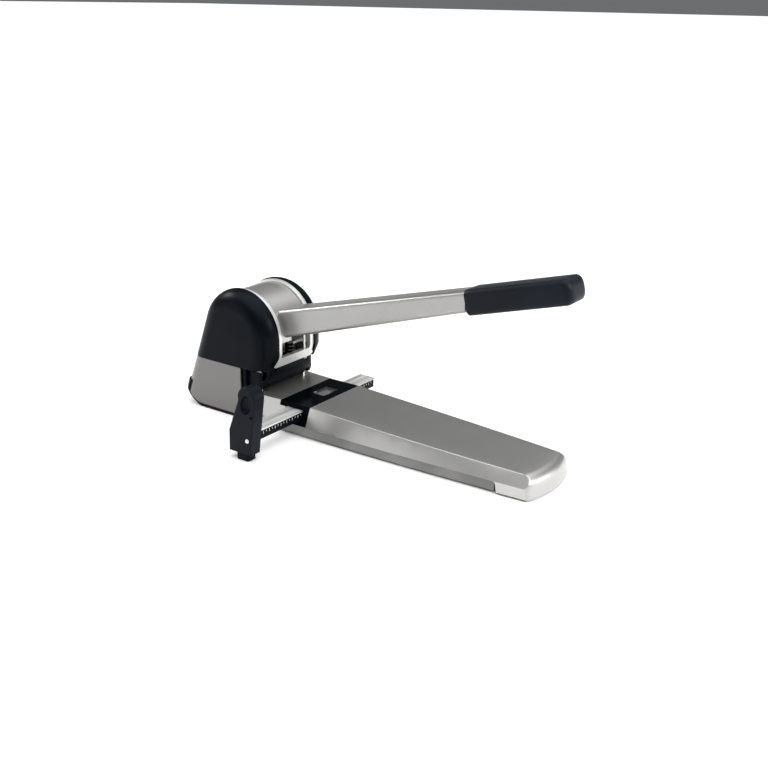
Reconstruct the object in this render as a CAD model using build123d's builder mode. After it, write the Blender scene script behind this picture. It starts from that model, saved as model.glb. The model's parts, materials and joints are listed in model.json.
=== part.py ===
from build123d import *
import os
from math import atan2, cos, pi, radians, sin, sqrt, tan

# Heavy-duty two-hole office punch with a long lever, a tapering base and a sliding
# paper guide. Millimetres. X points from the lever axis to the base's nose, Y to the
# far side, Z up. The origin is on the desk, straight below the lever axis.
os.makedirs("parts", exist_ok=True)

# ---- driving dimensions ----
HOLE_SPACING = 80.0  # between the two punch axes
PUNCH_R = 3.0
PUNCH_X = 32.0
AXIS_Z = 100.2  # height of the lever axis
TABLE_Z = 36.06  # top of the paper table
RUN = 0.06  # radial clearance of a running fit
WALL = 2.5  # moulded shells

PLATE_IN, PLATE_OUT = 26.5, 32.8  # the head frame's side plates, measured from the middle
RING_R = 55.8  # rounded top of the side plates
CAP_R, CAP_FACE, CAP_ROUND = 57.4, 56.0, 22.5
CAP_TURN, REAR_R, REAR_TANGENT = 100.0, 51.9, 160.0  # the cap's tighter rear arc
HEAD_HALF = 55.9
HEAD_BACK_TOP, HEAD_BACK_FOOT = -70.4, -93.4  # the foot is rounded off by HEAD_FOOT_ROUND
HEAD_FOOT_ROUND = 29.0
HEAD_TOP_Z, HEAD_FOOT_Z = 65.5, 4.6
PANEL_FRONT = 13.8

BAND_BACK, BAND_FRONT = 70.7, 115.3  # black insert that holds the guide rail
BAND_HALF = 47.7
FLARE, KNEE_Z = 9.1, 13.8  # the base's sides lean out down to the knee
NOSE_X = 411.5
COVER_FOOT_Z = 2.0
TRAY_Z = 1.7

RAIL_BACK, RAIL_FRONT, RAIL_TOP, RAIL_BOTTOM = 80.5, 105.3, 30.6, 19.6
RAIL_END, STOP_BACK, STOP_FACE = 97.6, -131.0, -147.0

DRUM_R, DRUM_WALL = 53.5, 3.0
DRUM_FROM, DRUM_TO = -4.0, 190.0  # angles of the hood's two edges, degrees
DRUM_CLEAR = 2.0  # its lower edge is at this angle away from the near side
SHAFT_R, HUB_R, BUSH_R = 9.0, 16.0, 12.0
HANDLE_END, GRIP_START, GRIP_END = 300.0, 297.0, 421.0

MODULE, TEETH = 2.5, 18
PITCH_R = MODULE * TEETH / 2
PRESSURE_ANGLE = 20.0
BACKLASH = 0.35
GEAR_Y, GEAR_W = HOLE_SPACING / 2, 9.0

SIDES = (("near", -1), ("far", 1))


# ---- small helpers, used inside a BuildPart ----
def block(xs, ys, zs, mode=Mode.ADD):
    """A box between two values on each axis."""
    middle = [(a + b) / 2 for a, b in (xs, ys, zs)]
    size = [abs(b - a) for a, b in (xs, ys, zs)]
    with Locations(tuple(middle)):
        return Box(*size, mode=mode)


def plane_y(y):
    """The XZ plane at y: its sketch has +X to the right and +Z up, and it extrudes to -Y."""
    return Plane.XZ.offset(-y)


def slab(outline, y_low, y_high, mode=Mode.ADD):
    """A closed XZ outline, extruded from y_high down to y_low."""
    with BuildSketch(plane_y(y_high)) as face:
        Polygon(*outline, align=None)
    extrude(face.sketch, amount=y_high - y_low, mode=mode)


def rod(x, y, z_low, z_high, radius, mode=Mode.ADD):
    """An upright cylinder."""
    with Locations((x, y, z_low)):
        Cylinder(radius, z_high - z_low, align=(Align.CENTER, Align.CENTER, Align.MIN), mode=mode)


def pin_y(x, z, y_low, y_high, radius, mode=Mode.ADD):
    """A cylinder along Y."""
    with BuildSketch(plane_y(y_high)) as face:
        with Locations((x, z)):
            Circle(radius)
    extrude(face.sketch, amount=y_high - y_low, mode=mode)


def keep(piece, label):
    """Labels a finished piece and writes its STEP file."""
    piece.part.label = label
    export_step(piece.part, f"parts/{label}.step")


# ---- base ----
def half_width(x):
    """Half-width of the base's top at station x, ahead of the band."""
    run = max(x - BAND_FRONT, 0)
    return BAND_HALF - 0.004 * run - 0.000115 * run**2


def top_height(x):
    """Height of the base's top at station x, ahead of the band."""
    run = max(x - BAND_FRONT, 0)
    return TABLE_Z - 0.042 * run + 0.000023 * run**2


def base_profile(x, inset, foot):
    """Cross-section of the base at station x: flat top, leaning sides, upright skirt."""
    top, half = top_height(x) - inset, half_width(x) - inset
    low = half_width(x) + FLARE - inset
    with BuildSketch(Plane.YZ.offset(x)) as profile:
        Polygon(
            (-half, top), (half, top), (low, KNEE_Z), (low + 0.5, foot),
            (-low - 0.5, foot), (-low, KNEE_Z), align=None,
        )
    return profile.sketch


MID_STATIONS = (190, 265, 340)
NOTCH_END = 366.0  # the cover's skirt is cut away from the band to here
CREST_R, NOSE_CORNER_R, NOSE_TOP_R = 1.3, 11.0, 13.0

with BuildPart() as cover_blank:
    loft([base_profile(x, 0, COVER_FOOT_Z) for x in (BAND_FRONT, *MID_STATIONS, 425)])
    crests = cover_blank.edges().filter_by(
        lambda e: e.bounding_box().size.X > 200 and (e @ 0.5).Z > KNEE_Z + 5
    )
    fillet(crests, CREST_R)

NOSE_BACK = 345.0  # ahead of here the cover is cut to the nose's outline
with BuildPart() as nose_blank:
    with BuildSketch(Plane.XY):
        with BuildLine():
            Polyline((NOSE_X - 9, 48), (NOSE_BACK - 5, 60), (NOSE_BACK - 5, -60), (NOSE_X - 9, -48))
            ThreePointArc((NOSE_X - 9, -48), (NOSE_X, 0), (NOSE_X - 9, 48))
        make_face()
    extrude(amount=60, taper=8)
    lid = [(x, top_height(x) + 0.02) for x in (NOSE_BACK - 5, NOSE_X + 5)]
    slab((*lid, (NOSE_X + 5, 90), (NOSE_BACK - 5, 90)), -90, 90, mode=Mode.SUBTRACT)
    corners = nose_blank.edges().filter_by(
        lambda e: (e @ 0.5).X > NOSE_BACK + 20 and e.bounding_box().size.Z > 12
    )
    fillet(corners, NOSE_CORNER_R)
    rim = nose_blank.edges().filter_by(
        lambda e: (e @ 0.5).X > NOSE_X - 20 and (e @ 0.5).Z > 20 and abs((e @ 0.5).Y) < 20
    )
    fillet(rim, NOSE_TOP_R)

with BuildPart() as nose_cut:
    block((NOSE_BACK, NOSE_X + 20), (-90, 90), (-1, 80))
    add(nose_blank.part, mode=Mode.SUBTRACT)

with BuildPart() as front_cover:
    add(cover_blank.part)
    add(nose_cut.part, mode=Mode.SUBTRACT)
    inside = (BAND_FRONT - 1, *MID_STATIONS, 398)
    loft([base_profile(x, WALL, COVER_FOOT_Z - 5) for x in inside], mode=Mode.SUBTRACT)
    slab(
        ((0, -5), (0, KNEE_Z), (NOTCH_END - 2, KNEE_Z), (NOTCH_END + 2, -5)), -80, 80,
        mode=Mode.SUBTRACT,
    )
    notch_corners = front_cover.edges().filter_by(
        lambda e: abs((e @ 0.5).X - NOTCH_END + 2) < 0.6 and abs((e @ 0.5).Z - KNEE_Z) < 0.3
    )
    fillet(notch_corners, 4)
keep(front_cover, "front_cover")

TRAY_SCREWS = ((140, 34), (140, -34), (330, 26), (330, -26))
TRAY_SKIN, TRAY_TOP, TRAY_END = 3.0, KNEE_Z - 0.2, 362.0
TRAY_FLOOR_BACK = 52.0  # behind here the tray is two side rails under the table
with BuildPart() as tray_blank:
    loft([base_profile(x, TRAY_SKIN, TRAY_Z) for x in (PANEL_FRONT + 0.2, BAND_FRONT)], ruled=True)
    loft([base_profile(x, TRAY_SKIN, TRAY_Z) for x in (BAND_FRONT, *MID_STATIONS, TRAY_END)])
    block((0, 500), (-90, 90), (TRAY_TOP, 60), mode=Mode.SUBTRACT)

with BuildPart() as tray_void:
    loft([base_profile(x, 2 * TRAY_SKIN, TRAY_Z + 2) for x in (TRAY_FLOOR_BACK + 2, BAND_FRONT)], ruled=True)
    loft([base_profile(x, 2 * TRAY_SKIN, TRAY_Z + 2) for x in (BAND_FRONT, *MID_STATIONS, TRAY_END - 3)])

with BuildPart() as front_tray:
    add(tray_blank.part)
    add(tray_void.part, mode=Mode.SUBTRACT)
    block((PANEL_FRONT, TRAY_FLOOR_BACK), (-50.5, 50.5), (TRAY_Z - 1, 20), mode=Mode.SUBTRACT)
    for x in (130, 200, 270, 340):
        block((x - 1, x + 1), (-38, 38), (TRAY_Z, TRAY_TOP))
    for x, y in TRAY_SCREWS:
        rod(x, y, 0, KNEE_Z, 1.5, mode=Mode.SUBTRACT)
keep(front_tray, "front_tray")

with BuildPart() as rubber_feet:
    for x, y in ((128, 40), (128, -40), (345, 32), (345, -32)):
        rod(x, y, 0, TRAY_Z, 7)
keep(rubber_feet, "rubber_feet")

PLATE_LOW, PLATE_TOP, PLATE_HALF = TRAY_TOP, 18.0, 48.0
CHIP_HOLE_R = 6.0
with BuildPart() as base_plate:
    with BuildSketch(Plane.XY.offset(PLATE_LOW)):
        Polygon(
            (-48, -PLATE_HALF), (BAND_FRONT, -PLATE_HALF), (372, -32), (372, 32),
            (BAND_FRONT, PLATE_HALF), (-48, PLATE_HALF), align=None,
        )
    extrude(amount=PLATE_TOP - PLATE_LOW)
    for _, side in SIDES:
        rod(PUNCH_X, side * GEAR_Y, 10, 20, CHIP_HOLE_R, mode=Mode.SUBTRACT)
    with Locations((200, 0, PLATE_LOW), (290, 0, PLATE_LOW)):
        Cylinder(16, 20, mode=Mode.SUBTRACT)
    for x, y in TRAY_SCREWS:
        rod(x, y, 10, 20, 1.5, mode=Mode.SUBTRACT)
keep(base_plate, "base_plate")

with BuildPart() as tray_screws:
    for x, y in TRAY_SCREWS:
        rod(x, y, TRAY_Z, PLATE_TOP + 2, 1.5)
        rod(x, y, PLATE_TOP, PLATE_TOP + 2.4, 3.2)
keep(tray_screws, "tray_screws")


# ---- head housing and the pan under it ----
def head_shell(skin, foot, corner, foot_round):
    """Solid of the head's lower housing: slanted back, rounded rear corners and foot."""
    lean = (HEAD_BACK_TOP - HEAD_BACK_FOOT) / (HEAD_TOP_Z - HEAD_FOOT_Z)
    half, back = HEAD_HALF - skin, HEAD_BACK_FOOT + skin - lean * (HEAD_FOOT_Z - foot)
    rise = HEAD_TOP_Z - foot + 0.5 * skin
    with BuildPart() as shell:
        with BuildSketch(Plane.XY.offset(foot)) as plan:
            with BuildLine():
                Polyline(
                    (back + corner, half), (60, half), (60, -half), (back + corner, -half)
                )
                RadiusArc((back + corner, -half), (back, -half + corner), corner)
                Line((back, -half + corner), (back, half - corner))
                RadiusArc((back, half - corner), (back + corner, half), corner)
            make_face()
        extrude(plan.sketch, amount=rise * sqrt(1 + lean**2), dir=(lean, 0, 1))
        with BuildSketch(plane_y(80)) as side_view:
            outline = Polygon(
                (PANEL_FRONT, foot), (PANEL_FRONT, foot + rise), (back + lean * rise, foot + rise),
                (back, foot), align=None,
            )
            fillet(outline.vertices().sort_by(Axis.X)[0], foot_round)
        extrude(side_view.sketch, amount=160, mode=Mode.INTERSECT)
    return shell.part


head_blank = head_shell(0, HEAD_FOOT_Z, CAP_ROUND, HEAD_FOOT_ROUND)
head_void = head_shell(WALL, HEAD_FOOT_Z, CAP_ROUND - WALL, HEAD_FOOT_ROUND - WALL)
PAN_SKIN, PAN_TOP = 2.2, 31.0
DRAWER_HALF, DRAWER_LOW, DRAWER_TOP = 47.5, 2.2, 13.2
FACE_HALF, FACE_LOW, FACE_TOP = 48.6, 2.4, 21.6
TABLE_HALVES = ((9, 55.9, 55.95), (24, 52.0, 56.2), (40, 49.8, 56.5), (BAND_BACK, BAND_HALF, 56.8))


def table_profile(x, top_half, knee_half, skin):
    """Cross-section of the paper table at station x."""
    with BuildSketch(Plane.YZ.offset(x)) as profile:
        Polygon(
            (-top_half + skin, TABLE_Z - skin), (top_half - skin, TABLE_Z - skin),
            (knee_half - skin, KNEE_Z), (-knee_half + skin, KNEE_Z), align=None,
        )
    return profile.sketch


TAB_FRONT, TAB_TOP, TAB_IN = RAIL_BACK - 0.8, 31.0, 50.0
with BuildPart() as band_tab:  # the table's sides run on below the insert's strip, up to the rail
    with BuildSketch(Plane.YZ.offset(BAND_BACK)):
        Polygon(
            (-BAND_HALF, TABLE_Z), (BAND_HALF, TABLE_Z), (BAND_HALF + FLARE, KNEE_Z),
            (-BAND_HALF - FLARE, KNEE_Z), align=None,
        )
    extrude(amount=TAB_FRONT - BAND_BACK)
    block((0, 100), (-TAB_IN, TAB_IN), (0, 50), mode=Mode.SUBTRACT)
    block((0, 100), (-80, 80), (TAB_TOP, 50), mode=Mode.SUBTRACT)

with BuildPart() as rear_housing:
    add(head_blank)
    add(head_void, mode=Mode.SUBTRACT)
    with BuildPart(mode=Mode.PRIVATE) as table:
        loft([table_profile(x, top, knee, 0) for x, top, knee in TABLE_HALVES])
        loft([table_profile(x, top, knee, WALL) for x, top, knee in TABLE_HALVES], mode=Mode.SUBTRACT)
        for _, side in SIDES:
            rod(PUNCH_X, side * GEAR_Y, 30, 40, 7.0, mode=Mode.SUBTRACT)
    add(table.part)
    block((9, 14), (-53, 53), (KNEE_Z, TABLE_Z - WALL), mode=Mode.SUBTRACT)
    block((-95, -60), (-49, 49), (HEAD_FOOT_Z - 1, 22), mode=Mode.SUBTRACT)
    add(band_tab.part)
keep(rear_housing, "rear_housing")

with BuildPart() as pan_blank:
    add(head_shell(-PAN_SKIN, 0, CAP_ROUND + PAN_SKIN, HEAD_FOOT_ROUND + HEAD_FOOT_Z))
    block((-100, 60), (-80, 80), (PAN_TOP, 80), mode=Mode.SUBTRACT)
    block((12, 60), (-80, 80), (-5, 80), mode=Mode.SUBTRACT)
    for _, side in SIDES:
        block((-100, 60), (side * 54.6, side * 80), (-5, 80), mode=Mode.SUBTRACT)
    add(head_blank, mode=Mode.SUBTRACT)

with BuildPart() as rear_pan:
    add(pan_blank.part)
    block((-68, 12), (-49.5, 49.5), (2, 5), mode=Mode.SUBTRACT)
    block((12, 50), (-49.5, 49.5), (0, 2))
    block((-100, -60), (-49, 49), (2, 22), mode=Mode.SUBTRACT)
    block((-69, -54), (-49.5, 49.5), (2, 8), mode=Mode.SUBTRACT)
keep(rear_pan, "rear_pan")

with BuildPart() as chip_drawer:
    add(pan_blank.part)
    with BuildPart(mode=Mode.PRIVATE) as face_space:
        block((-100, -60), (-FACE_HALF, FACE_HALF), (FACE_LOW, FACE_TOP))
    add(face_space.part, mode=Mode.INTERSECT)
    block((-71.5, -65), (-DRAWER_HALF + 4, DRAWER_HALF - 4), (7, DRAWER_TOP))
    block((-66, 45), (-DRAWER_HALF, DRAWER_HALF), (DRAWER_LOW, DRAWER_TOP))
    block((-64, 43), (-DRAWER_HALF + 2, DRAWER_HALF - 2), (DRAWER_LOW + 1.6, 30), mode=Mode.SUBTRACT)
    block((-90, -72.4), (-20, 20), (0, 9), mode=Mode.SUBTRACT)
keep(chip_drawer, "chip_drawer")


# ---- black insert with the guide rail ----
with BuildPart() as rail_housing:
    with BuildSketch(Plane.YZ.offset(BAND_BACK)):
        Polygon(
            (-BAND_HALF, TABLE_Z), (BAND_HALF, TABLE_Z), (BAND_HALF + FLARE, KNEE_Z),
            (-BAND_HALF - FLARE, KNEE_Z), align=None,
        )
    extrude(amount=BAND_FRONT - BAND_BACK)
    block((RAIL_BACK - 0.8, RAIL_FRONT + 1.3), (-60, 60), (PLATE_TOP, RAIL_TOP + 0.8), mode=Mode.SUBTRACT)
    for _, side in SIDES:
        block((BAND_BACK - 1, TAB_FRONT), (side * TAB_IN, side * 70), (0, TAB_TOP), mode=Mode.SUBTRACT)
    plate_slot = PLATE_HALF + 0.2
    block((BAND_BACK - 1, BAND_FRONT + 1), (-plate_slot, plate_slot), (0, PLATE_TOP), mode=Mode.SUBTRACT)
    block((83, 103), (-6, 24), (TABLE_Z - 2.2, 40), mode=Mode.SUBTRACT)
    block((84.5, 101.5), (-4.5, 22.5), (30, 40), mode=Mode.SUBTRACT)
keep(rail_housing, "rail_housing")

with BuildPart() as reading_lens:
    block((83, 103), (-6, 24), (TABLE_Z - 2.2, TABLE_Z - 0.6))
    fillet(reading_lens.edges().filter_by(Axis.Z), 1.0)
    block((85.2, 87.2), (-3.4, -0.6), (TABLE_Z - 0.9, TABLE_Z), mode=Mode.SUBTRACT)
keep(reading_lens, "reading_lens")

with BuildPart() as index_pointer:
    block((85.3, 87.1), (-3.3, -0.7), (TABLE_Z - 0.9, TABLE_Z + 0.3))
keep(index_pointer, "index_pointer")

RAIL_SKIN = 1.6
with BuildPart() as guide_rail:
    block((RAIL_BACK, RAIL_FRONT), (STOP_BACK, RAIL_END), (RAIL_BOTTOM, RAIL_TOP))
    fillet(guide_rail.edges().filter_by(Axis.Y).group_by(Axis.Z)[-1], 1.2)
    fillet(guide_rail.edges().filter_by(Axis.Z).group_by(Axis.Y)[-1], 2.0)
    block(
        (RAIL_BACK + RAIL_SKIN, RAIL_FRONT - RAIL_SKIN), (STOP_BACK - 1, RAIL_END - 3),
        (RAIL_BOTTOM - 1, RAIL_TOP - RAIL_SKIN), mode=Mode.SUBTRACT,
    )
    rod(92.8, 81.6, RAIL_BOTTOM, RAIL_TOP + 1, 1.3, mode=Mode.SUBTRACT)
keep(guide_rail, "guide_rail")

with BuildPart() as rail_scale:
    block((RAIL_FRONT, RAIL_FRONT + 0.6), (STOP_BACK, RAIL_END - 6), (RAIL_BOTTOM + 0.4, RAIL_TOP - 1.4))
keep(rail_scale, "rail_scale")

STOP_FOOT_Z = 8.0
DIMPLE = (106.0, 67.5)
STOP_SCREW = (107.0, 25.5)
with BuildPart() as stop_block:
    with BuildSketch(plane_y(STOP_BACK)):
        with BuildLine():
            Polyline((94.5, 72), (79.5, 33), (79, STOP_FOOT_Z), (110.5, STOP_FOOT_Z), (119, 74))
            TangentArc((119, 74), (94.5, 72), tangent=(8.5, 66))
        make_face()
    extrude(amount=STOP_BACK - STOP_FACE)
    fillet(stop_block.edges().group_by(Axis.Y)[0], 1.8)
    for depth, width, height in ((0, 7.4, 11.5), (3, 6.0, 10.0), (5, 3.0, 6.5)):
        with BuildSketch(plane_y(STOP_FACE + depth)):
            with Locations(DIMPLE):
                Ellipse(width, height, rotation=-14)
    loft(mode=Mode.SUBTRACT)
    pin_y(113.4, 54.5, STOP_FACE - 1, STOP_FACE + 3, 1.6, mode=Mode.SUBTRACT)
    pin_y(*STOP_SCREW, STOP_FACE - 1, STOP_FACE + 9, 1.5, mode=Mode.SUBTRACT)
keep(stop_block, "stop_block")

with BuildPart() as stop_screw:
    pin_y(*STOP_SCREW, STOP_FACE - 1.2, STOP_FACE, 2.6)
    fillet(stop_screw.edges().group_by(Axis.Y)[0], 1.0)
    pin_y(*STOP_SCREW, STOP_FACE, STOP_FACE + 9, 1.5)
keep(stop_screw, "stop_screw")

with BuildPart() as stop_foot:
    block((89.5, 107), (STOP_FACE + 1, STOP_BACK - 2), (0.3, STOP_FOOT_Z))
    fillet(stop_foot.edges().filter_by(Axis.Z), 2)
keep(stop_foot, "stop_foot")


# ---- head frame, bearings and the fixed parts of the punching unit ----
JAW_Z, BAR_BOTTOM, BAR_TOP, BAR_BACK = 84.0, 67.0, 78.5, 47.6
LEDGE_X, LEDGE_Z, SPRING_X, SPRING_Y = 22.0, 87.0, 30.0, 20.0
RING_END = 150.0  # angle where the round top of a side plate ends, at the rear


def on_ring(radius, angle):
    """A point at an angle on a circle about the lever axis, as XZ."""
    return (radius * cos(radians(angle)), AXIS_Z + radius * sin(radians(angle)))


with BuildPart() as head_frame:
    for y_high in (PLATE_OUT, -PLATE_IN):
        with BuildSketch(plane_y(y_high)):
            with BuildLine():
                Polyline(
                    on_ring(RING_R, RING_END), (-50, 66), (-46, PLATE_TOP), (8.8, PLATE_TOP),
                    (8.8, JAW_Z), (BAR_BACK, JAW_Z), (BAR_BACK, BAR_BOTTOM), (51, BAR_BOTTOM),
                    (RING_R, JAW_Z), on_ring(RING_R, 0),
                )
                ThreePointArc(on_ring(RING_R, 0), on_ring(RING_R, 90), on_ring(RING_R, RING_END))
            make_face()
        extrude(amount=PLATE_OUT - PLATE_IN)
    slab(
        ((BAR_BACK, BAR_BOTTOM), (51, BAR_BOTTOM), (54.25, BAR_TOP), (BAR_BACK, BAR_TOP)),
        -PLATE_IN, PLATE_IN,
    )
    block((-46, -41), (-PLATE_IN, PLATE_IN), (PLATE_TOP + 6, 58))
    block((-46, 8.8), (-PLATE_IN, PLATE_IN), (PLATE_TOP, PLATE_TOP + 6))
    for _, side in SIDES:
        block((LEDGE_X, 40), (side * PLATE_IN, side * 13), (JAW_Z, LEDGE_Z))
    pin_y(0, AXIS_Z, -PLATE_OUT, PLATE_OUT, BUSH_R, mode=Mode.SUBTRACT)
    for x, y in ((-30, 16), (-30, -16), (0, 16), (0, -16)):
        rod(x, y, 0, 40, 2.5, mode=Mode.SUBTRACT)
keep(head_frame, "head_frame")

with BuildPart() as frame_screws:
    for x, y in ((-30, 16), (-30, -16), (0, 16), (0, -16)):
        rod(x, y, PLATE_TOP, PLATE_TOP + 7, 2.5)
        rod(x, y, PLATE_TOP + 6, PLATE_TOP + 10, 4.2)
    for x, y in ((-30, 16), (-30, -16), (0, 16), (0, -16)):
        with BuildSketch(Plane.XY.offset(PLATE_TOP + 10)):
            with Locations((x, y)):
                RegularPolygon(2.2, 6)
        extrude(amount=-2.5, mode=Mode.SUBTRACT)
keep(frame_screws, "frame_screws")

for name, side in SIDES:
    with BuildPart() as bearing_bush:
        pin_y(0, AXIS_Z, *sorted((side * PLATE_IN, side * PLATE_OUT)), BUSH_R)
        pin_y(0, AXIS_Z, *sorted((side * (PLATE_IN - 1.2), side * PLATE_IN)), BUSH_R + 2)
        pin_y(0, AXIS_Z, -60, 60, SHAFT_R + RUN, mode=Mode.SUBTRACT)
    keep(bearing_bush, f"bearing_bush_{name}")

BED_HALF, BED_BACK, BED_FRONT = 46.0, 22.0, 42.0
DIE_LOW = 30.0
with BuildPart() as die_bed:
    block((BED_BACK, BED_FRONT), (-BED_HALF, BED_HALF), (PLATE_TOP, TABLE_Z - WALL))
    for _, side in SIDES:
        rod(PUNCH_X, side * GEAR_Y, DIE_LOW, 40, 6.0, mode=Mode.SUBTRACT)
        rod(PUNCH_X, side * GEAR_Y, 0, 40, 4.2, mode=Mode.SUBTRACT)
keep(die_bed, "die_bed")

for name, side in SIDES:
    with BuildPart() as die:
        rod(PUNCH_X, side * GEAR_Y, DIE_LOW, TABLE_Z - WALL, 6.0)
        rod(PUNCH_X, side * GEAR_Y, TABLE_Z - WALL, TABLE_Z + 0.1, 7.0)
        rod(PUNCH_X, side * GEAR_Y, 0, 40, PUNCH_R + RUN, mode=Mode.SUBTRACT)
    keep(die, f"die_{name}")

with BuildPart() as back_stop:
    block((15, 19.7), (-53.2, 53.2), (TABLE_Z, 65.5))
    fillet(back_stop.edges().filter_by(Axis.Z), 1.5)
    for _, side in SIDES:
        block((9.2, 15.5), (side * 20, side * 24), (TABLE_Z, 60))
keep(back_stop, "back_stop")

GUIDE_BACK, GUIDE_FRONT, GUIDE_LOW, GUIDE_TOP, GUIDE_OUT = 28.0, 44.0, 84.0, 122.0, 49.0
BAR_FRONT, BAR_HALF = 38.0, 5.5  # the rack bar's front face and half-width
GUIDE_SCREWS = ((41, 90), (41, 110))
for name, side in SIDES:
    with BuildPart() as punch_guide:
        block((GUIDE_BACK, GUIDE_FRONT), (side * (PLATE_OUT + 0.2), side * GUIDE_OUT), (GUIDE_LOW, GUIDE_TOP))
        block(
            (GUIDE_BACK - 1, BAR_FRONT + RUN),
            (side * (GEAR_Y - BAR_HALF - RUN), side * (GEAR_Y + BAR_HALF + RUN)),
            (0, 200), mode=Mode.SUBTRACT,
        )
        for x, z in GUIDE_SCREWS:
            pin_y(x, z, -60, 60, 1.5, mode=Mode.SUBTRACT)
    keep(punch_guide, f"punch_guide_{name}")

with BuildPart() as guide_screws:
    for _, side in SIDES:
        for x, z in GUIDE_SCREWS:
            pin_y(x, z, *sorted((side * (PLATE_OUT + 0.2), side * GUIDE_OUT)), 1.5)
            pin_y(x, z, *sorted((side * GUIDE_OUT, side * (GUIDE_OUT + 1.2))), 2.8)
keep(guide_screws, "guide_screws")

with BuildPart() as lever_stop:
    rod(51.6, 19.5, BAR_TOP, 99.0, 1.6)
keep(lever_stop, "lever_stop")


# ---- lever and what turns with it ----
def ring_sector(inner, outer, start, end):
    """A face between two circles about the lever axis and two angles, on the active XZ sketch."""
    middle = (start + end) / 2
    with BuildLine() as rim:
        ThreePointArc(on_ring(outer, start), on_ring(outer, middle), on_ring(outer, end))
        Line(on_ring(outer, end), on_ring(inner, end))
        ThreePointArc(on_ring(inner, end), on_ring(inner, middle), on_ring(inner, start))
        Line(on_ring(inner, start), on_ring(outer, start))
    make_face(rim.edges())


DRUM_HALF = PLATE_IN - 0.5
HUB_HALF, WEB_HALF = 10.0, 5.0
with BuildPart() as lever_drum:
    with BuildSketch(plane_y(DRUM_HALF)):
        ring_sector(DRUM_R - DRUM_WALL, DRUM_R, DRUM_FROM, DRUM_TO)
    extrude(amount=2 * DRUM_HALF)
    with BuildSketch(plane_y(DRUM_HALF)):
        ring_sector(DRUM_R - DRUM_WALL - 1, DRUM_R + 1, DRUM_FROM - 5, DRUM_CLEAR)
    extrude(amount=DRUM_HALF + 6.6, mode=Mode.SUBTRACT)
keep(lever_drum, "lever_drum")

with BuildPart() as lever_hub:
    pin_y(0, AXIS_Z, -HUB_HALF, HUB_HALF, HUB_R)
    with BuildSketch(plane_y(WEB_HALF)):
        ring_sector(HUB_R - 2, DRUM_R - DRUM_WALL, DRUM_CLEAR + 2, 110)
    extrude(amount=2 * WEB_HALF)
    with BuildSketch(plane_y(WEB_HALF)):
        ring_sector(HUB_R + 7, DRUM_R - DRUM_WALL - 7, 50, 100)
    extrude(amount=2 * WEB_HALF, mode=Mode.SUBTRACT)
    pin_y(0, AXIS_Z, -60, 60, SHAFT_R, mode=Mode.SUBTRACT)
keep(lever_hub, "lever_hub")

SHAFT_HALF = 48.0
with BuildPart() as main_shaft:
    pin_y(0, AXIS_Z, -SHAFT_HALF, SHAFT_HALF, SHAFT_R)
    chamfer(main_shaft.edges().filter_by(GeomType.CIRCLE), 0.8)
keep(main_shaft, "main_shaft")


def handle_top(x):
    return 122.85 + 0.262 * x


def handle_bottom(x):
    return 85.5 + 0.307 * x


def handle_half(x):
    return 20.6 - 3.1 * x / HANDLE_END


def handle_section(x, inset, radius):
    """Rounded cross-section of the lever arm at station x."""
    top, bottom, half = handle_top(x) - inset, handle_bottom(x) + inset, handle_half(x) - inset
    with BuildSketch(Plane.YZ.offset(x)) as section:
        with Locations((0, (top + bottom) / 2)):
            RectangleRounded(2 * half, top - bottom, radius)
    return section.sketch


TANG_INSET, TANG_END = 4.5, 404.0
with BuildPart() as handle_beam:
    loft([handle_section(x, 0, 5.5) for x in (34, HANDLE_END)])
    loft([handle_section(x, TANG_INSET, 3.0) for x in (HANDLE_END, TANG_END)])
    pin_y(0, AXIS_Z, -60, 60, DRUM_R, mode=Mode.SUBTRACT)
keep(handle_beam, "handle_beam")


def grip_section(x, radius):
    """Rounded cross-section of the grip at station x, a little outside the arm."""
    top, bottom = 202.0 + 0.268 * (x - GRIP_START), 173.0 + 0.276 * (x - GRIP_START)
    with BuildSketch(Plane.YZ.offset(x)) as section:
        with Locations((0, (top + bottom) / 2)):
            RectangleRounded(2 * 19.3, top - bottom, radius)
    return section.sketch


with BuildPart() as handle_grip:
    loft([grip_section(x, 7.0) for x in (HANDLE_END, GRIP_END)])
    fillet(handle_grip.faces().sort_by(Axis.X)[-1].edges(), 6.5)
    with BuildPart(mode=Mode.PRIVATE) as tang:
        loft([handle_section(x, TANG_INSET, 3.0) for x in (HANDLE_END, TANG_END)])
    add(tang.part, mode=Mode.SUBTRACT)
keep(handle_grip, "handle_grip")


# ---- rack and pinion drive of the two punches ----
def tooth_flank(samples=5):
    """Half-angle of a pinion tooth at each radius, root to tip, as (radius, radians)."""
    base = PITCH_R * cos(radians(PRESSURE_ANGLE))
    pressure = radians(PRESSURE_ANGLE)
    half = (pi * MODULE / 2 - BACKLASH / 2) / 2 / PITCH_R
    tip = PITCH_R + MODULE
    flank = []
    for i in range(samples):
        radius = base + (tip - base) * i / (samples - 1)
        local = atan2(sqrt(max(radius**2 - base**2, 0)), base)
        flank.append((radius, half + tan(pressure) - pressure - tan(local) + local))
    return flank


def gear_point(radius, angle):
    return (radius * cos(angle), AXIS_Z + radius * sin(angle))


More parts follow.
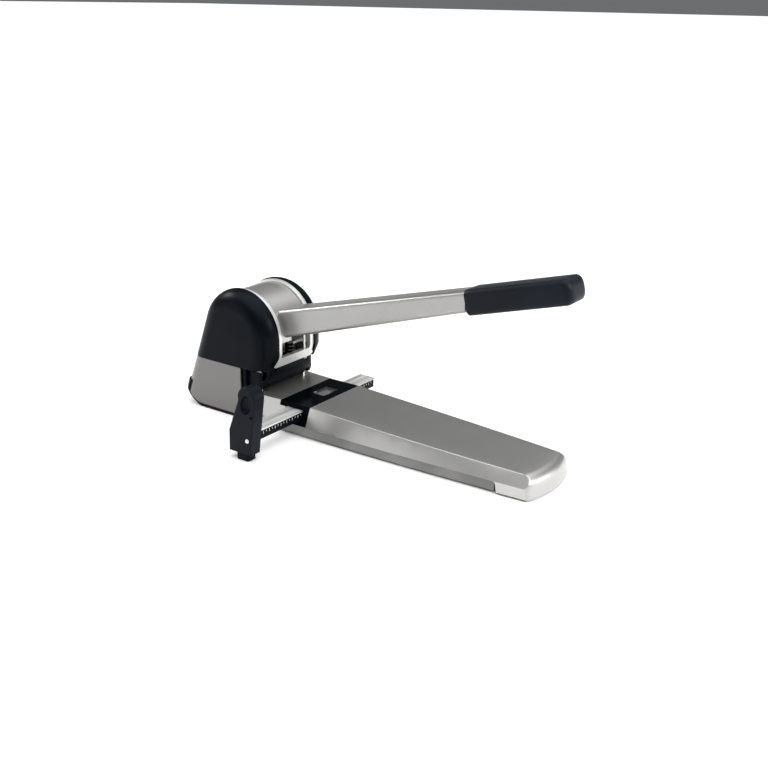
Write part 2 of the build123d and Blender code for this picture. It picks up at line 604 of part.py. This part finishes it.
ROOT_R = PITCH_R - 1.25 * MODULE
with BuildPart() as pinion_blank:
    with BuildSketch(plane_y(GEAR_Y + GEAR_W / 2)):
        with BuildLine():
            flank = tooth_flank()
            step = 2 * pi / TEETH
            for i in range(TEETH):
                middle = i * step
                rise = [gear_point(r, middle - a) for r, a in flank]
                fall = [gear_point(r, middle + a) for r, a in reversed(flank)]
                foot_in, foot_out = (gear_point(ROOT_R, middle + s * flank[0][1]) for s in (-1, 1))
                next_foot = gear_point(ROOT_R, middle + step - flank[0][1])
                Line(foot_in, rise[0])
                Spline(*rise)
                Line(rise[-1], fall[0])
                Spline(*fall)
                Line(fall[-1], foot_out)
                Line(foot_out, next_foot)
        make_face()
    extrude(amount=GEAR_W)
    pin_y(0, AXIS_Z, 0, 60, SHAFT_R, mode=Mode.SUBTRACT)

with BuildPart() as pinion_far:
    add(pinion_blank.part)
keep(pinion_far, "pinion_far")

with BuildPart() as pinion_near:
    mirror(pinion_blank.part, about=Plane.XZ)
keep(pinion_near, "pinion_near")

with BuildPart() as shaft_clips:
    for _, side in SIDES:
        low, high = sorted((side * (GEAR_Y + GEAR_W / 2), side * (GEAR_Y + GEAR_W / 2 + 1.4)))
        pin_y(0, AXIS_Z, low, high, SHAFT_R + 3.5)
        pin_y(0, AXIS_Z, low, high, SHAFT_R, mode=Mode.SUBTRACT)
        block((-20, -6), (low, high), (AXIS_Z - 2, AXIS_Z + 2), mode=Mode.SUBTRACT)
keep(shaft_clips, "shaft_clips")

RACK_LOW, RACK_TOP, SOCKET_TOP = 58.0, 106.0, 72.0
with BuildPart() as rack_blank:
    root_x, tip_x = PITCH_R + 1.25 * MODULE, PITCH_R - MODULE
    pitch, lean = pi * MODULE, tan(radians(PRESSURE_ANGLE))
    half = (pitch / 2 - BACKLASH / 2) / 2
    block((root_x, BAR_FRONT), (GEAR_Y - BAR_HALF, GEAR_Y + BAR_HALF), (RACK_LOW, RACK_TOP))
    for i in range(-5, 1):
        middle = AXIS_Z + (i + 0.5) * pitch
        foot, tip = half + (root_x - PITCH_R) * lean, half - MODULE * lean
        slab(
            ((root_x, middle - foot), (tip_x, middle - tip), (tip_x, middle + tip), (root_x, middle + foot)),
            GEAR_Y - BAR_HALF, GEAR_Y + BAR_HALF,
        )
    block((PITCH_R - 10, 60), (0, 60), (RACK_TOP, 140), mode=Mode.SUBTRACT)
    slab(
        ((BAR_FRONT - 4, RACK_TOP), (BAR_FRONT, RACK_TOP - 4), (BAR_FRONT + 1, RACK_TOP + 1)),
        GEAR_Y - BAR_HALF, GEAR_Y + BAR_HALF, mode=Mode.SUBTRACT,
    )
    rod(PUNCH_X, GEAR_Y, 0, SOCKET_TOP, PUNCH_R, mode=Mode.SUBTRACT)

with BuildPart() as rack_far:
    add(rack_blank.part)
keep(rack_far, "rack_far")

with BuildPart() as rack_near:
    mirror(rack_blank.part, about=Plane.XZ)
keep(rack_near, "rack_near")

PUNCH_TIP = 33.5
for name, side in SIDES:
    with BuildPart() as punch:
        rod(PUNCH_X, side * GEAR_Y, PUNCH_TIP, SOCKET_TOP, PUNCH_R)
        slab(
            ((PUNCH_X - 4, PUNCH_TIP - 1), (PUNCH_X, PUNCH_TIP + 1.6), (PUNCH_X + 4, PUNCH_TIP - 1)),
            side * GEAR_Y - 4, side * GEAR_Y + 4, mode=Mode.SUBTRACT,
        )
    keep(punch, f"punch_{name}")


# ---- paper presser ----
PRESS_BACK, PRESS_HALF, PRESS_LOW, PRESS_TOP = 20.5, 48.0, 40.0, 46.0
WALL_TOP = 61.5  # the presser's walls stay below the side plates as it rises
PRESS_CORNER = 14.0  # front corners, clear of the caps' rounded corners as it rises
with BuildPart() as presser:
    block((PRESS_BACK, 38), (-PRESS_HALF, PRESS_HALF), (PRESS_LOW, PRESS_TOP))
    slab(
        ((34, PRESS_LOW), (38, PRESS_LOW), (47, 55), (47, 57), (44, 57), (44, 55.7), (36, 44)),
        -PRESS_HALF, PRESS_HALF,
    )
    for _, side in SIDES:
        block((PRESS_BACK, 44), (side * (PRESS_HALF - 2), side * PRESS_HALF), (PRESS_TOP, WALL_TOP))
        block((PRESS_BACK, 27.7), (side * (PRESS_HALF - 2), side * PRESS_HALF), (PRESS_TOP, 65.7))
        block((44.2, 47), (side * 33.3, side * PRESS_HALF), (55, 65.7))
        block((44.2, 47), (side * 25.5, side * 33.4), (55, WALL_TOP))
    with BuildSketch(Plane.XY.offset(PRESS_LOW)) as plan:
        with Locations((10, 0)):
            RectangleRounded(74, 2 * PRESS_HALF, PRESS_CORNER)
    extrude(plan.sketch, amount=40, mode=Mode.INTERSECT)
    block((44, 47), (-25.5, 25.5), (56, 66))
    for _, side in SIDES:
        rod(PUNCH_X, side * GEAR_Y, 0, 80, PUNCH_R + 0.3, mode=Mode.SUBTRACT)
        rod(38.5, side * 38, PRESS_LOW - 1, 60, 4.0, mode=Mode.SUBTRACT)
keep(presser, "presser")

with BuildPart() as presser_pads:
    for y in (0, 24, -24):
        block((23, 36), (y - 8, y + 8), (PRESS_LOW - 1.5, PRESS_LOW))
keep(presser_pads, "presser_pads")

SPRING_WIRE, SPRING_R = 0.6, 4.0
for name, side in SIDES:
    with BuildPart() as presser_spring:
        low, high = PRESS_TOP + SPRING_WIRE + 0.05, JAW_Z - SPRING_WIRE - 0.05
        with BuildLine() as coil:
            Helix(
                pitch=(high - low) / 8, height=high - low, radius=SPRING_R,
                center=(SPRING_X, side * SPRING_Y, low),
            )
        with BuildSketch(Plane(origin=coil.line @ 0, z_dir=coil.line % 0)) as wire:
            Circle(SPRING_WIRE)
        sweep(wire.sketch, path=coil.line)
    keep(presser_spring, f"presser_spring_{name}")


# ---- black covers of the head ----
CAP_LOW = 66.0
CAP_BACK = (-70.7, CAP_LOW)
BACK_LEAN = 0.365  # the caps' back, forward for each mm up


def on_rear(radius, angle):
    """A point on the caps' rear arc, which starts at CAP_TURN on the round top."""
    centre = on_ring(CAP_R - REAR_R, CAP_TURN)
    return (centre[0] + radius * cos(radians(angle)), centre[1] + radius * sin(radians(angle)))


def cap_solid(skin, low):
    """Far side cap, shrunk by skin, from the side plate out to its domed face."""
    radius = CAP_R - skin
    with BuildPart() as cap:
        with BuildSketch(plane_y(CAP_FACE - skin)) as side_view:
            with BuildLine() as outline:
                back_low = (CAP_BACK[0] + 1.065 * skin - BACK_LEAN * (CAP_LOW - low), low)
                front_low = (52.2 - skin - 0.456 * (CAP_LOW + 2.6 - low), low)
                rear = REAR_R - skin
                ThreePointArc(on_rear(rear, REAR_TANGENT), on_rear(rear, 130), on_rear(rear, CAP_TURN))
                ThreePointArc(on_ring(radius, CAP_TURN), on_ring(radius, 50), on_ring(radius, 0))
                Polyline(
                    on_ring(radius, 0), (CAP_R - skin, 80), (52.2 - skin, CAP_LOW + 2.6), front_low,
                    back_low, on_rear(rear, REAR_TANGENT),
                )
            make_face(outline.edges())
            knee = side_view.vertices().filter_by(lambda v: abs(v.Z - 80) < 0.1)
            fillet(knee, 40)
        extrude(side_view.sketch, amount=CAP_FACE - skin - PLATE_OUT - 0.2)
        dome = cap.faces().sort_by(Axis.Y)[-1].edges().filter_by(lambda e: e.center().Z > low + 1)
        fillet(dome, CAP_ROUND - skin)
    return cap.part


def cap_notch():
    """Cuts the small upright triangle out of a cap's lower front edge, beside the side plate."""
    with BuildSketch(Plane.YZ.offset(45)) as face:
        Polygon(
            (PLATE_OUT, 85.5), (PLATE_OUT, 65), (PLATE_OUT + 3.4, 65), (PLATE_OUT + 5.2, 69.5),
            (PLATE_OUT + 2.4, 78), align=None,
        )
    extrude(face.sketch, amount=20, mode=Mode.SUBTRACT)


with BuildPart() as cap_blank:
    add(cap_solid(0, CAP_LOW))
    add(cap_solid(WALL, CAP_LOW - 8), mode=Mode.SUBTRACT)
    cap_notch()

with BuildPart() as side_cap_far:
    add(cap_blank.part)
keep(side_cap_far, "side_cap_far")

with BuildPart() as side_cap_near:
    mirror(cap_blank.part, about=Plane.XZ)
keep(side_cap_near, "side_cap_near")

COVER_SKIN, COVER_LIP, COVER_TURN = 2.0, 152.0, 168.0
with BuildPart() as rear_cover:
    with BuildSketch(plane_y(PLATE_OUT)):
        with BuildLine():
            outer, inner = CAP_R - 0.4, CAP_R - 0.4 - COVER_SKIN
            Polyline(CAP_BACK, on_ring(outer, COVER_TURN))
            RadiusArc(on_ring(outer, COVER_TURN), on_ring(outer, COVER_LIP), outer)
            Line(on_ring(outer, COVER_LIP), on_ring(inner, COVER_LIP))
            RadiusArc(on_ring(inner, COVER_LIP), on_ring(inner, COVER_TURN), -inner)
            Polyline(on_ring(inner, COVER_TURN), (CAP_BACK[0] + COVER_SKIN, CAP_LOW), CAP_BACK)
        make_face()
    extrude(amount=2 * PLATE_OUT)
keep(rear_cover, "rear_cover")
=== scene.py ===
import json
from math import atan, cos, pi, radians, sin

import bmesh
import bpy
from mathutils import Matrix, Vector


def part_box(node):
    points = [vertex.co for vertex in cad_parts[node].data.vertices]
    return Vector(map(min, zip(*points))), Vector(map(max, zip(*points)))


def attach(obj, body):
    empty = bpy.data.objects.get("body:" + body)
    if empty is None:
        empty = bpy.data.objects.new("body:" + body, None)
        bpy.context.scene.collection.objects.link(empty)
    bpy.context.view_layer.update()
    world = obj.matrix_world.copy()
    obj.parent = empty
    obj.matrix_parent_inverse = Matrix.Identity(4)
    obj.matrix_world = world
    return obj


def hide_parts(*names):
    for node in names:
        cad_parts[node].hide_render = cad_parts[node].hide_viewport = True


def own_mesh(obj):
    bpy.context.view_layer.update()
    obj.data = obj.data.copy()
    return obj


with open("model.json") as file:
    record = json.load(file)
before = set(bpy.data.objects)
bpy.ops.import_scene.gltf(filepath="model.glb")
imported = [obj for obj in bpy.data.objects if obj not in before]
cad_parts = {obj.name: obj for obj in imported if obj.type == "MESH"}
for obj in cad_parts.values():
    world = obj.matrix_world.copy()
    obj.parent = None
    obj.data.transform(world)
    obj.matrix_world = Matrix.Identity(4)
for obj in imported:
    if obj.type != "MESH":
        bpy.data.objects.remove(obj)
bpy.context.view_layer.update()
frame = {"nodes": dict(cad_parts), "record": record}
nodes = frame["nodes"]
MM = 0.001


# ---- materials ----
BRUSH_DEPTH = 0.25  # bump strength of the marks on bare metal
SHADE_EDGE = 0.3 * MM  # half-width of the step where the painted shade on the housing's head panels ends


def new_material(name, colour, **sockets):
    """A Principled material. Returns it with its node tree and shader."""
    material = bpy.data.materials.new(name)
    material.use_nodes = True
    tree = material.node_tree
    shader = tree.nodes["Principled BSDF"]
    shader.inputs["Base Color"].default_value = (*colour, 1)
    for socket, value in sockets.items():
        shader.inputs[socket.replace("_", " ")].default_value = value
    return material, tree, shader


def noise(tree, scale, stretch=(1, 1, 1), detail=3.0):
    """Noise in object space. scale is cells per metre, stretch multiplies it on each axis."""
    place = tree.nodes.new("ShaderNodeTexCoord")
    mapping = tree.nodes.new("ShaderNodeMapping")
    mapping.inputs["Scale"].default_value = stretch
    texture = tree.nodes.new("ShaderNodeTexNoise")
    texture.inputs["Scale"].default_value = scale
    texture.inputs["Detail"].default_value = detail
    tree.links.new(place.outputs["Object"], mapping.inputs["Vector"])
    tree.links.new(mapping.outputs["Vector"], texture.inputs["Vector"])
    return texture.outputs["Fac"]


def spread(tree, value, low, high):
    """Maps the middle of a noise onto low to high."""
    ranged = tree.nodes.new("ShaderNodeMapRange")
    ranged.inputs["From Min"].default_value = 0.3
    ranged.inputs["From Max"].default_value = 0.7
    ranged.inputs["To Min"].default_value = low
    ranged.inputs["To Max"].default_value = high
    tree.links.new(value, ranged.inputs["Value"])
    return ranged.outputs["Result"]


def vary_colour(tree, shader, value, dark, light):
    """Base colour from dark to light along a noise."""
    ramp = tree.nodes.new("ShaderNodeValToRGB")
    ramp.color_ramp.elements[0].position = 0.35
    ramp.color_ramp.elements[1].position = 0.65
    ramp.color_ramp.elements[0].color = (*dark, 1)
    ramp.color_ramp.elements[1].color = (*light, 1)
    tree.links.new(value, ramp.inputs["Fac"])
    tree.links.new(ramp.outputs["Color"], shader.inputs["Base Color"])


def relief(tree, shader, layers):
    """Bump from noises, each (height socket, strength, distance in mm)."""
    normal = None
    for height, strength, distance in layers:
        bump = tree.nodes.new("ShaderNodeBump")
        bump.inputs["Strength"].default_value = strength
        bump.inputs["Distance"].default_value = distance * MM
        tree.links.new(height, bump.inputs["Height"])
        if normal is not None:
            tree.links.new(normal, bump.inputs["Normal"])
        normal = bump.outputs["Normal"]
    tree.links.new(normal, shader.inputs["Normal"])


def tinted(colour, factor):
    """A colour scaled by factor, kept within 1."""
    return tuple(min(c * factor, 1.0) for c in colour)


def metal_paint(name, colour, metallic, roughness, coat):
    """Metallic lacquer: fine flakes, a faint orange peel and slightly uneven gloss."""
    material, tree, shader = new_material(
        name, colour, Metallic=metallic, Coat_Weight=coat, Coat_Roughness=0.22
    )
    vary_colour(tree, shader, noise(tree, 1600, detail=1.0), tinted(colour, 0.93), tinted(colour, 1.06))
    rough = spread(tree, noise(tree, 70), roughness - 0.01, roughness + 0.015)
    tree.links.new(rough, shader.inputs["Roughness"])
    relief(tree, shader, [(noise(tree, 420), 0.10, 0.05), (noise(tree, 2400, detail=1.0), 0.12, 0.02)])
    return material


def moulded(name, colour, roughness, grain, depth, **sockets):
    """Moulded or cast surface: fine grain, with slightly uneven gloss and colour."""
    material, tree, shader = new_material(name, colour, **sockets)
    vary_colour(tree, shader, noise(tree, 22), tinted(colour, 0.86), tinted(colour, 1.18))
    rough = spread(tree, noise(tree, 60, detail=5.0), roughness - 0.04, roughness + 0.05)
    tree.links.new(rough, shader.inputs["Roughness"])
    relief(tree, shader, [(noise(tree, grain, detail=2.0), depth, 0.05)])
    return material


def turned_metal(name, colour, roughness, stretch):
    """Bare metal with fine marks drawn out along one axis."""
    material, tree, shader = new_material(name, colour, Metallic=1.0)
    brush = noise(tree, 300, stretch=stretch, detail=4.0)
    vary_colour(tree, shader, brush, tinted(colour, 0.82), tinted(colour, 1.1))
    tree.links.new(spread(tree, brush, roughness - 0.06, roughness + 0.1), shader.inputs["Roughness"])
    relief(tree, shader, [(brush, BRUSH_DEPTH, 0.02)])
    return material


SILVER = (0.50, 0.495, 0.48)
# the darker panel silver below is painted shade on the head's side panels, which have the same silver
# lacquer as the table
PANEL_SHADED_SILVER = (0.165, 0.160, 0.152)
BLACK = (0.0010, 0.0024, 0.0045)
PANEL_BORDER = 13.9  # x in mm where the head's panels end and the table begins, and where the housing's painted shade ends
finishes = {
    "silver_paint": metal_paint("silver_lacquer", SILVER, 0.9, 0.36, 0.12),
    "tray_plastic": moulded("grey_tray", (0.22, 0.22, 0.215), 0.5, 900, 0.1),
    "bright_frame": metal_paint("bright_lacquer", (0.78, 0.78, 0.76), 0.7, 0.40, 0.15),
    "black_shell": moulded("black_shell", BLACK, 0.36, 1100, 0.10, Specular_IOR_Level=0.07),
    "grip_rubber": moulded("grip_rubber", (0.005, 0.0075, 0.012), 0.44, 1500, 0.22,
                           Sheen_Weight=0.02, Specular_IOR_Level=0.11),
    "pad_rubber": moulded("pad_rubber", (0.03, 0.03, 0.032), 0.7, 1200, 0.3),
    "steel": turned_metal("drawn_steel", (0.66, 0.65, 0.62), 0.3, (1.0, 0.03, 1.0)),
    "machined_steel": turned_metal("machined_steel", (0.5, 0.5, 0.49), 0.38, (0.1, 1.0, 1.0)),
    "cast_iron": moulded("cast_iron", (0.05, 0.05, 0.052), 0.55, 500, 0.4, Metallic=0.8),
    "bronze": turned_metal("bronze", (0.55, 0.36, 0.16), 0.35, (1.0, 0.05, 1.0)),
    "clear_lens": new_material("clear_lens", (0.9, 0.92, 0.94), Transmission_Weight=1.0,
                               Roughness=0.06, IOR=1.49)[0],
}
marking = moulded("white_marking", (0.85, 0.85, 0.83), 0.5, 800, 0.05)
satin_insert = moulded("satin_insert", (0.0008, 0.0014, 0.0022), 0.20, 1300, 0.08,
                        Specular_IOR_Level=0.02)
stop_plastic = moulded("stop_plastic", (0.004, 0.006, 0.010), 0.38, 900, 0.14, Specular_IOR_Level=0.08)


def shaded_panel_lacquer(name, rear, front, border):
    """Metallic lacquer that is darker behind x = border mm, where the head's panels are: painted shade on
    those panels.
    """
    material = metal_paint(name, front, 0.9, 0.36, 0.15)
    tree = material.node_tree
    shader = tree.nodes["Principled BSDF"]
    base = shader.inputs["Base Color"].links[0].from_socket
    place = tree.nodes.new("ShaderNodeTexCoord")
    split = tree.nodes.new("ShaderNodeSeparateXYZ")
    step = tree.nodes.new("ShaderNodeMapRange")
    step.inputs["From Min"].default_value = border * MM - SHADE_EDGE
    step.inputs["From Max"].default_value = border * MM + SHADE_EDGE
    mix = tree.nodes.new("ShaderNodeMix")
    mix.data_type = "RGBA"
    mix.inputs["A"].default_value = (*rear, 1)
    tree.links.new(place.outputs["Object"], split.inputs["Vector"])
    tree.links.new(split.outputs["X"], step.inputs["Value"])
    tree.links.new(step.outputs["Result"], mix.inputs["Factor"])
    tree.links.new(base, mix.inputs["B"])
    tree.links.new(mix.outputs["Result"], shader.inputs["Base Color"])
    return material


# the handle's lacquer is the silver lacquer darkened as painted shade, which damps its highlights
handle_lacquer_painted_shade = metal_paint("handle_lacquer_painted_shade", tinted(SILVER, 0.72), 0.9, 0.38, 0.08)
rail_steel = turned_metal("satin_rail", (0.74, 0.74, 0.72), 0.5, (1.0, 0.03, 1.0))
# the rear housing's lacquer carries painted shade: darker on the head's panels than on the table
housing_lacquer_painted_shade = shaded_panel_lacquer("housing_lacquer_painted_shade", PANEL_SHADED_SILVER, SILVER, PANEL_BORDER)


def paint(obj, material):
    """Gives an object one material."""
    obj.data.materials.clear()
    obj.data.materials.append(material)


# ---- helpers for meshes ----
def modifier(obj, kind, **settings):
    """Adds a modifier with its settings."""
    made = obj.modifiers.new(kind.title().replace("_", ""), kind)
    for key, value in settings.items():
        setattr(made, key, value)


def shade(obj):
    """Smooth shading from the faces alone."""
    mesh = obj.data
    if "custom_normal" in mesh.attributes:
        mesh.attributes.remove(mesh.attributes["custom_normal"])
    mesh.polygons.foreach_set("use_smooth", [True] * len(mesh.polygons))
    mesh.update()


WELD_GAP, SPLIT_ANGLE, FLAT_ANGLE, BEVEL_ANGLE = 0.004 * MM, 28, 0.6, 35


def dress_cad(name, soft_edge=0.0):
    """Joins a CAD node's faces, smooths them and, if asked, softens its sharp edges by so many mm."""
    obj = nodes[name]
    shade(obj)
    modifier(obj, "WELD", merge_threshold=WELD_GAP)
    if soft_edge:
        modifier(obj, "DECIMATE", decimate_type="DISSOLVE", angle_limit=radians(FLAT_ANGLE))
        modifier(obj, "BEVEL", width=soft_edge * MM, segments=2, limit_method="ANGLE",
                 angle_limit=radians(BEVEL_ANGLE), harden_normals=True, use_clamp_overlap=True)
    else:
        modifier(obj, "EDGE_SPLIT", split_angle=radians(SPLIT_ANGLE))


def new_piece(name, mesh, material, body, replaces=()):
    """Links a mesh as a piece that rides on a body, gives it the material and hides the CAD nodes it
    replaces.
    """
    obj = bpy.data.objects.new(name, mesh)
    bpy.context.scene.collection.objects.link(obj)
    paint(obj, material)
    shade(obj)
    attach(obj, body)
    if replaces:
        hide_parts(*replaces)
    return obj


def skin_rings(name, rings):
    """A closed mesh through rings of points, each ring with the same number of points."""
    built = bmesh.new()
    rows = [[built.verts.new(p) for p in ring] for ring in rings]
    count = len(rows[0])
    for first, second in zip(rows, rows[1:]):
        for i in range(count):
            j = (i + 1) % count
            built.faces.new((first[i], first[j], second[j], second[i]))
    built.faces.new(reversed(rows[0]))
    built.faces.new(rows[-1])
    bmesh.ops.recalc_face_normals(built, faces=built.faces)
    mesh = bpy.data.meshes.new(name)
    built.to_mesh(mesh)
    built.free()
    return mesh


def rounded_section(half, height, radius, steps=6):
    """Points round a rectangle with rounded corners, as (across, up) from its middle."""
    points = []
    for across, up, start in ((1, 1, 0), (-1, 1, 90), (-1, -1, 180), (1, -1, 270)):
        for step in range(steps + 1):
            angle = radians(start + 90 * step / steps)
            points.append((
                across * (half - radius) + radius * cos(angle),
                up * (height - radius) + radius * sin(angle),
            ))
    return points


for subpart in frame["record"]["subparts"]:
    paint(nodes[subpart["node"]], finishes[subpart["material_slot"]])

SOFT_EDGES = {
    "head_frame": 0.5, "rail_housing": 0.5, "presser": 0.5, "guide_rail": 0.3, "stop_foot": 0.4,
    "back_stop": 0.4, "base_plate": 0.5, "punch_guide_near": 0.4, "punch_guide_far": 0.4,
}
for name in nodes:
    dress_cad(name, SOFT_EDGES.get(name, 0.0))
paint(nodes["rail_housing"], satin_insert)
paint(nodes["rear_housing"], housing_lacquer_painted_shade)
paint(nodes["handle_beam"], handle_lacquer_painted_shade)
paint(nodes["guide_rail"], rail_steel)
# the punch guides are machined steel but get the dark cast iron finish, as painted shade that keeps the
# throat dark
for name in ("punch_guide_near", "punch_guide_far"):
    paint(nodes[name], finishes["cast_iron"])
paint(nodes["stop_block"], stop_plastic)


# ---- grip ----
GRIP_SLOPE = atan(0.272)
GRIP_FRONT = Vector((300.8, 0, 188.5)) * MM  # middle of the grip's front edge
GRIP_LONG, GRIP_THICK, GRIP_WIDE = 122.8 * MM, 14.0 * MM, 19.3 * MM
GRIP_END_ROUND, GRIP_EDGE = 9.0 * MM, 6.5 * MM
GRIP_LIP, GRIP_LEAST_EDGE, GRIP_FLAT = 1.0 * MM, 2.5 * MM, 0.1 * MM
GRIP_NARROWING = 0.04  # share of its thickness that the grip loses along its length
GRIP_SPANS, GRIP_DOME_STEPS = 12, 9


def grip_mesh():
    """The rubber grip: rounded-off rectangle, square to the lever, with a domed end."""
    along = Vector((cos(GRIP_SLOPE), 0, sin(GRIP_SLOPE)))
    up = Vector((-sin(GRIP_SLOPE), 0, cos(GRIP_SLOPE)))
    stations = [
        (GRIP_LIP * (1 - cos(radians(a))), GRIP_LIP * (1 - sin(radians(a)))) for a in (0, 30, 60, 90)
    ]
    straight = GRIP_LONG - GRIP_END_ROUND
    for span in range(1, GRIP_SPANS + 1):
        stations.append((GRIP_LIP + (straight - GRIP_LIP) * span / GRIP_SPANS, 0))
    for step in range(1, GRIP_DOME_STEPS + 1):
        turn = radians(90 * step / GRIP_DOME_STEPS)
        stations.append((straight + GRIP_END_ROUND * sin(turn), GRIP_END_ROUND * (1 - cos(turn))))
    rings = []
    for reach, inset in stations:
        narrowing = 1 - GRIP_NARROWING * reach / GRIP_LONG
        half, thick = GRIP_WIDE - inset, GRIP_THICK * narrowing - inset
        radius = max(min(GRIP_EDGE, half - GRIP_FLAT, thick - GRIP_FLAT), GRIP_LEAST_EDGE)
        middle = GRIP_FRONT + along * reach
        rings.append([
            middle + Vector((0, across, 0)) + up * height
            for across, height in rounded_section(half, thick, radius)
        ])
    return skin_rings("grip", rings)


new_piece("grip", grip_mesh(), finishes["grip_rubber"], "lever", ("handle_grip",))


# ---- springs above the paper presser ----
SPRING_TURNS, SPRING_WIRE = 8, 0.6 * MM
TURN_STEPS, WIRE_SIDES = 24, 8


def spring_mesh(low, high):
    """A coil of wire that fills the box from low to high."""
    middle, radius = (low + high) / 2, (high.x - low.x) / 2 - SPRING_WIRE
    bottom, top = low.z + SPRING_WIRE, high.z - SPRING_WIRE
    rings, steps = [], SPRING_TURNS * TURN_STEPS
    for step in range(steps + 1):
        turn = 2 * pi * SPRING_TURNS * step / steps
        outward = Vector((cos(turn), sin(turn), 0))
        centre = Vector((middle.x, middle.y, bottom + (top - bottom) * step / steps)) + outward * radius
        around = [2 * pi * side / WIRE_SIDES for side in range(WIRE_SIDES)]
        rings.append([
            centre + outward * SPRING_WIRE * cos(a) + Vector((0, 0, SPRING_WIRE * sin(a))) for a in around
        ])
    return skin_rings("spring", rings)


for side in ("near", "far"):
    spring_low, spring_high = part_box(f"presser_spring_{side}")
    spring = new_piece(f"spring_{side}", spring_mesh(spring_low, spring_high), finishes["steel"], "base",
                       (f"presser_spring_{side}",))
    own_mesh(spring)


# ---- marks on the guide's scale ----
def boxes_mesh(name, boxes):
    """One mesh of several small boxes, each (low corner, high corner)."""
    built = bmesh.new()
    for low, high in boxes:
        size, middle = high - low, (high + low) / 2
        matrix = Matrix.Translation(middle) @ Matrix.Diagonal((*size, 1))
        bmesh.ops.create_cube(built, size=1, matrix=matrix)
    mesh = bpy.data.meshes.new(name)
    built.to_mesh(mesh)
    built.free()
    return mesh


scale_low, scale_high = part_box("rail_scale")
TICK_STEP, TICK_WIDE, TICK_DEEP = 5 * MM, 0.5 * MM, 0.08 * MM
TICK_LONG, TICK_SHORT, TICK_DROP = 3.6 * MM, 2.2 * MM, 0.8 * MM
TICK_START, TICK_STOP = 12 * MM, 4 * MM  # from the scale's two ends
ticks = []
tick_y = scale_low.y + TICK_START
while tick_y < scale_high.y - TICK_STOP:
    tall = TICK_LONG if len(ticks) % 2 == 0 else TICK_SHORT
    ticks.append((
        Vector((scale_high.x, tick_y, scale_high.z - TICK_DROP - tall)),
        Vector((scale_high.x + TICK_DEEP, tick_y + TICK_WIDE, scale_high.z - TICK_DROP)),
    ))
    tick_y += TICK_STEP
new_piece("scale_ticks", boxes_mesh("scale_ticks", ticks), marking, "paper_guide")


# ---- camera ----
CAMERA_ANGLES = (34.997, 20.212, 1.033)  # azimuth, elevation and roll, degrees
CAMERA_PLACE = (0.835007, -0.926092, 0.484477)
CAMERA_LENS, CAMERA_SENSOR = 48.904, 36


def place_camera():
    """The photograph's viewing angle."""
    azimuth, elevation, roll = (radians(angle) for angle in CAMERA_ANGLES)
    back = Vector((sin(azimuth) * cos(elevation), -cos(azimuth) * cos(elevation), sin(elevation)))
    level = Vector((cos(azimuth), sin(azimuth), 0))
    upright = back.cross(level)
    right = level * cos(roll) + upright * sin(roll)
    up = back.cross(right)
    camera = bpy.data.objects.new("camera", bpy.data.cameras.new("camera"))
    bpy.context.scene.collection.objects.link(camera)
    camera.matrix_world = Matrix.Translation(CAMERA_PLACE) @ Matrix(
        (right, up, back)
    ).transposed().to_4x4()
    camera.data.sensor_width = CAMERA_SENSOR
    camera.data.lens = CAMERA_LENS
    camera.data.clip_start, camera.data.clip_end = 0.05, 100
    bpy.context.scene.camera = camera


place_camera()


# ---- floor and light ----
FLOOR_HALF, FLOOR_DROP = 60, 0.2 * MM
SKY_COLOUR, SKY_STRENGTH = (0.95, 0.97, 1.0, 1), 0.16
MIDDLE = (0.0, 0, 0.1)  # about the middle of the head, which most lamps face
SOFT_BOXES = {  # place, target, size in metres, power in watts
    "nose_box": ((2.1, 1.3, 0.5), (0.2, 0, 0.08), (1.2, 0.9), 9),
    "near_box": ((-1.35, -1.97, 0.73), (0.1, 0, 0.08), (1.6, 1.0), 7),
    "crown_box": ((-1.7, -0.15, 1.35), MIDDLE, (0.7, 0.5), 18),
    "front_box": ((2.05, 0.12, 1.06), MIDDLE, (0.8, 0.6), 22),
    "far_box": ((0.25, 1.75, 1.65), MIDDLE, (1.2, 0.7), 1.5),
}


def add_lamp(lamp, direction, place=(0, 0, 0)):
    """Links a lamp that shines along direction."""
    holder = bpy.data.objects.new(lamp.name, lamp)
    bpy.context.scene.collection.objects.link(holder)
    holder.location = place
    holder.rotation_mode = "QUATERNION"
    holder.rotation_quaternion = direction.to_track_quat("-Z", "Y")


def area_light(name, place, target, size, power):
    """A soft box at place, facing target."""
    lamp = bpy.data.lights.new(name, "AREA")
    lamp.shape, lamp.size, lamp.size_y = "RECTANGLE", size[0], size[1]
    lamp.energy = power
    add_lamp(lamp, Vector(target) - Vector(place), place)


def sun_light(name, direction, strength, width):
    """A broad distant light that shines along direction."""
    lamp = bpy.data.lights.new(name, "SUN")
    lamp.energy, lamp.angle = strength, radians(width)
    add_lamp(lamp, Vector(direction))


def make_floor():
    """A wide pale floor just under the object."""
    built = bmesh.new()
    bmesh.ops.create_grid(built, x_segments=4, y_segments=4, size=FLOOR_HALF)
    mesh = bpy.data.meshes.new("floor")
    built.to_mesh(mesh)
    built.free()
    floor = bpy.data.objects.new("floor", mesh)
    floor.location.z = -FLOOR_DROP
    bpy.context.scene.collection.objects.link(floor)
    material, tree, shader = new_material(
        "pale_floor", (0.93, 0.93, 0.93), Roughness=0.8, Specular_IOR_Level=0.05
    )
    vary_colour(tree, shader, noise(tree, 3), (0.92, 0.92, 0.92), (0.94, 0.94, 0.94))
    paint(floor, material)


def make_sky():
    """A dim even sky, and plain tone mapping."""
    world = bpy.data.worlds.new("studio")
    world.use_nodes = True
    background = world.node_tree.nodes["Background"]
    background.inputs["Color"].default_value = SKY_COLOUR
    background.inputs["Strength"].default_value = SKY_STRENGTH
    bpy.context.scene.world = world
    bpy.context.scene.view_settings.view_transform = "Standard"


make_floor()
sun_light("top_light", (-0.15, 0.05, -1.0), 3.3, 80)
for name, settings in SOFT_BOXES.items():
    area_light(name, *settings)
make_sky()
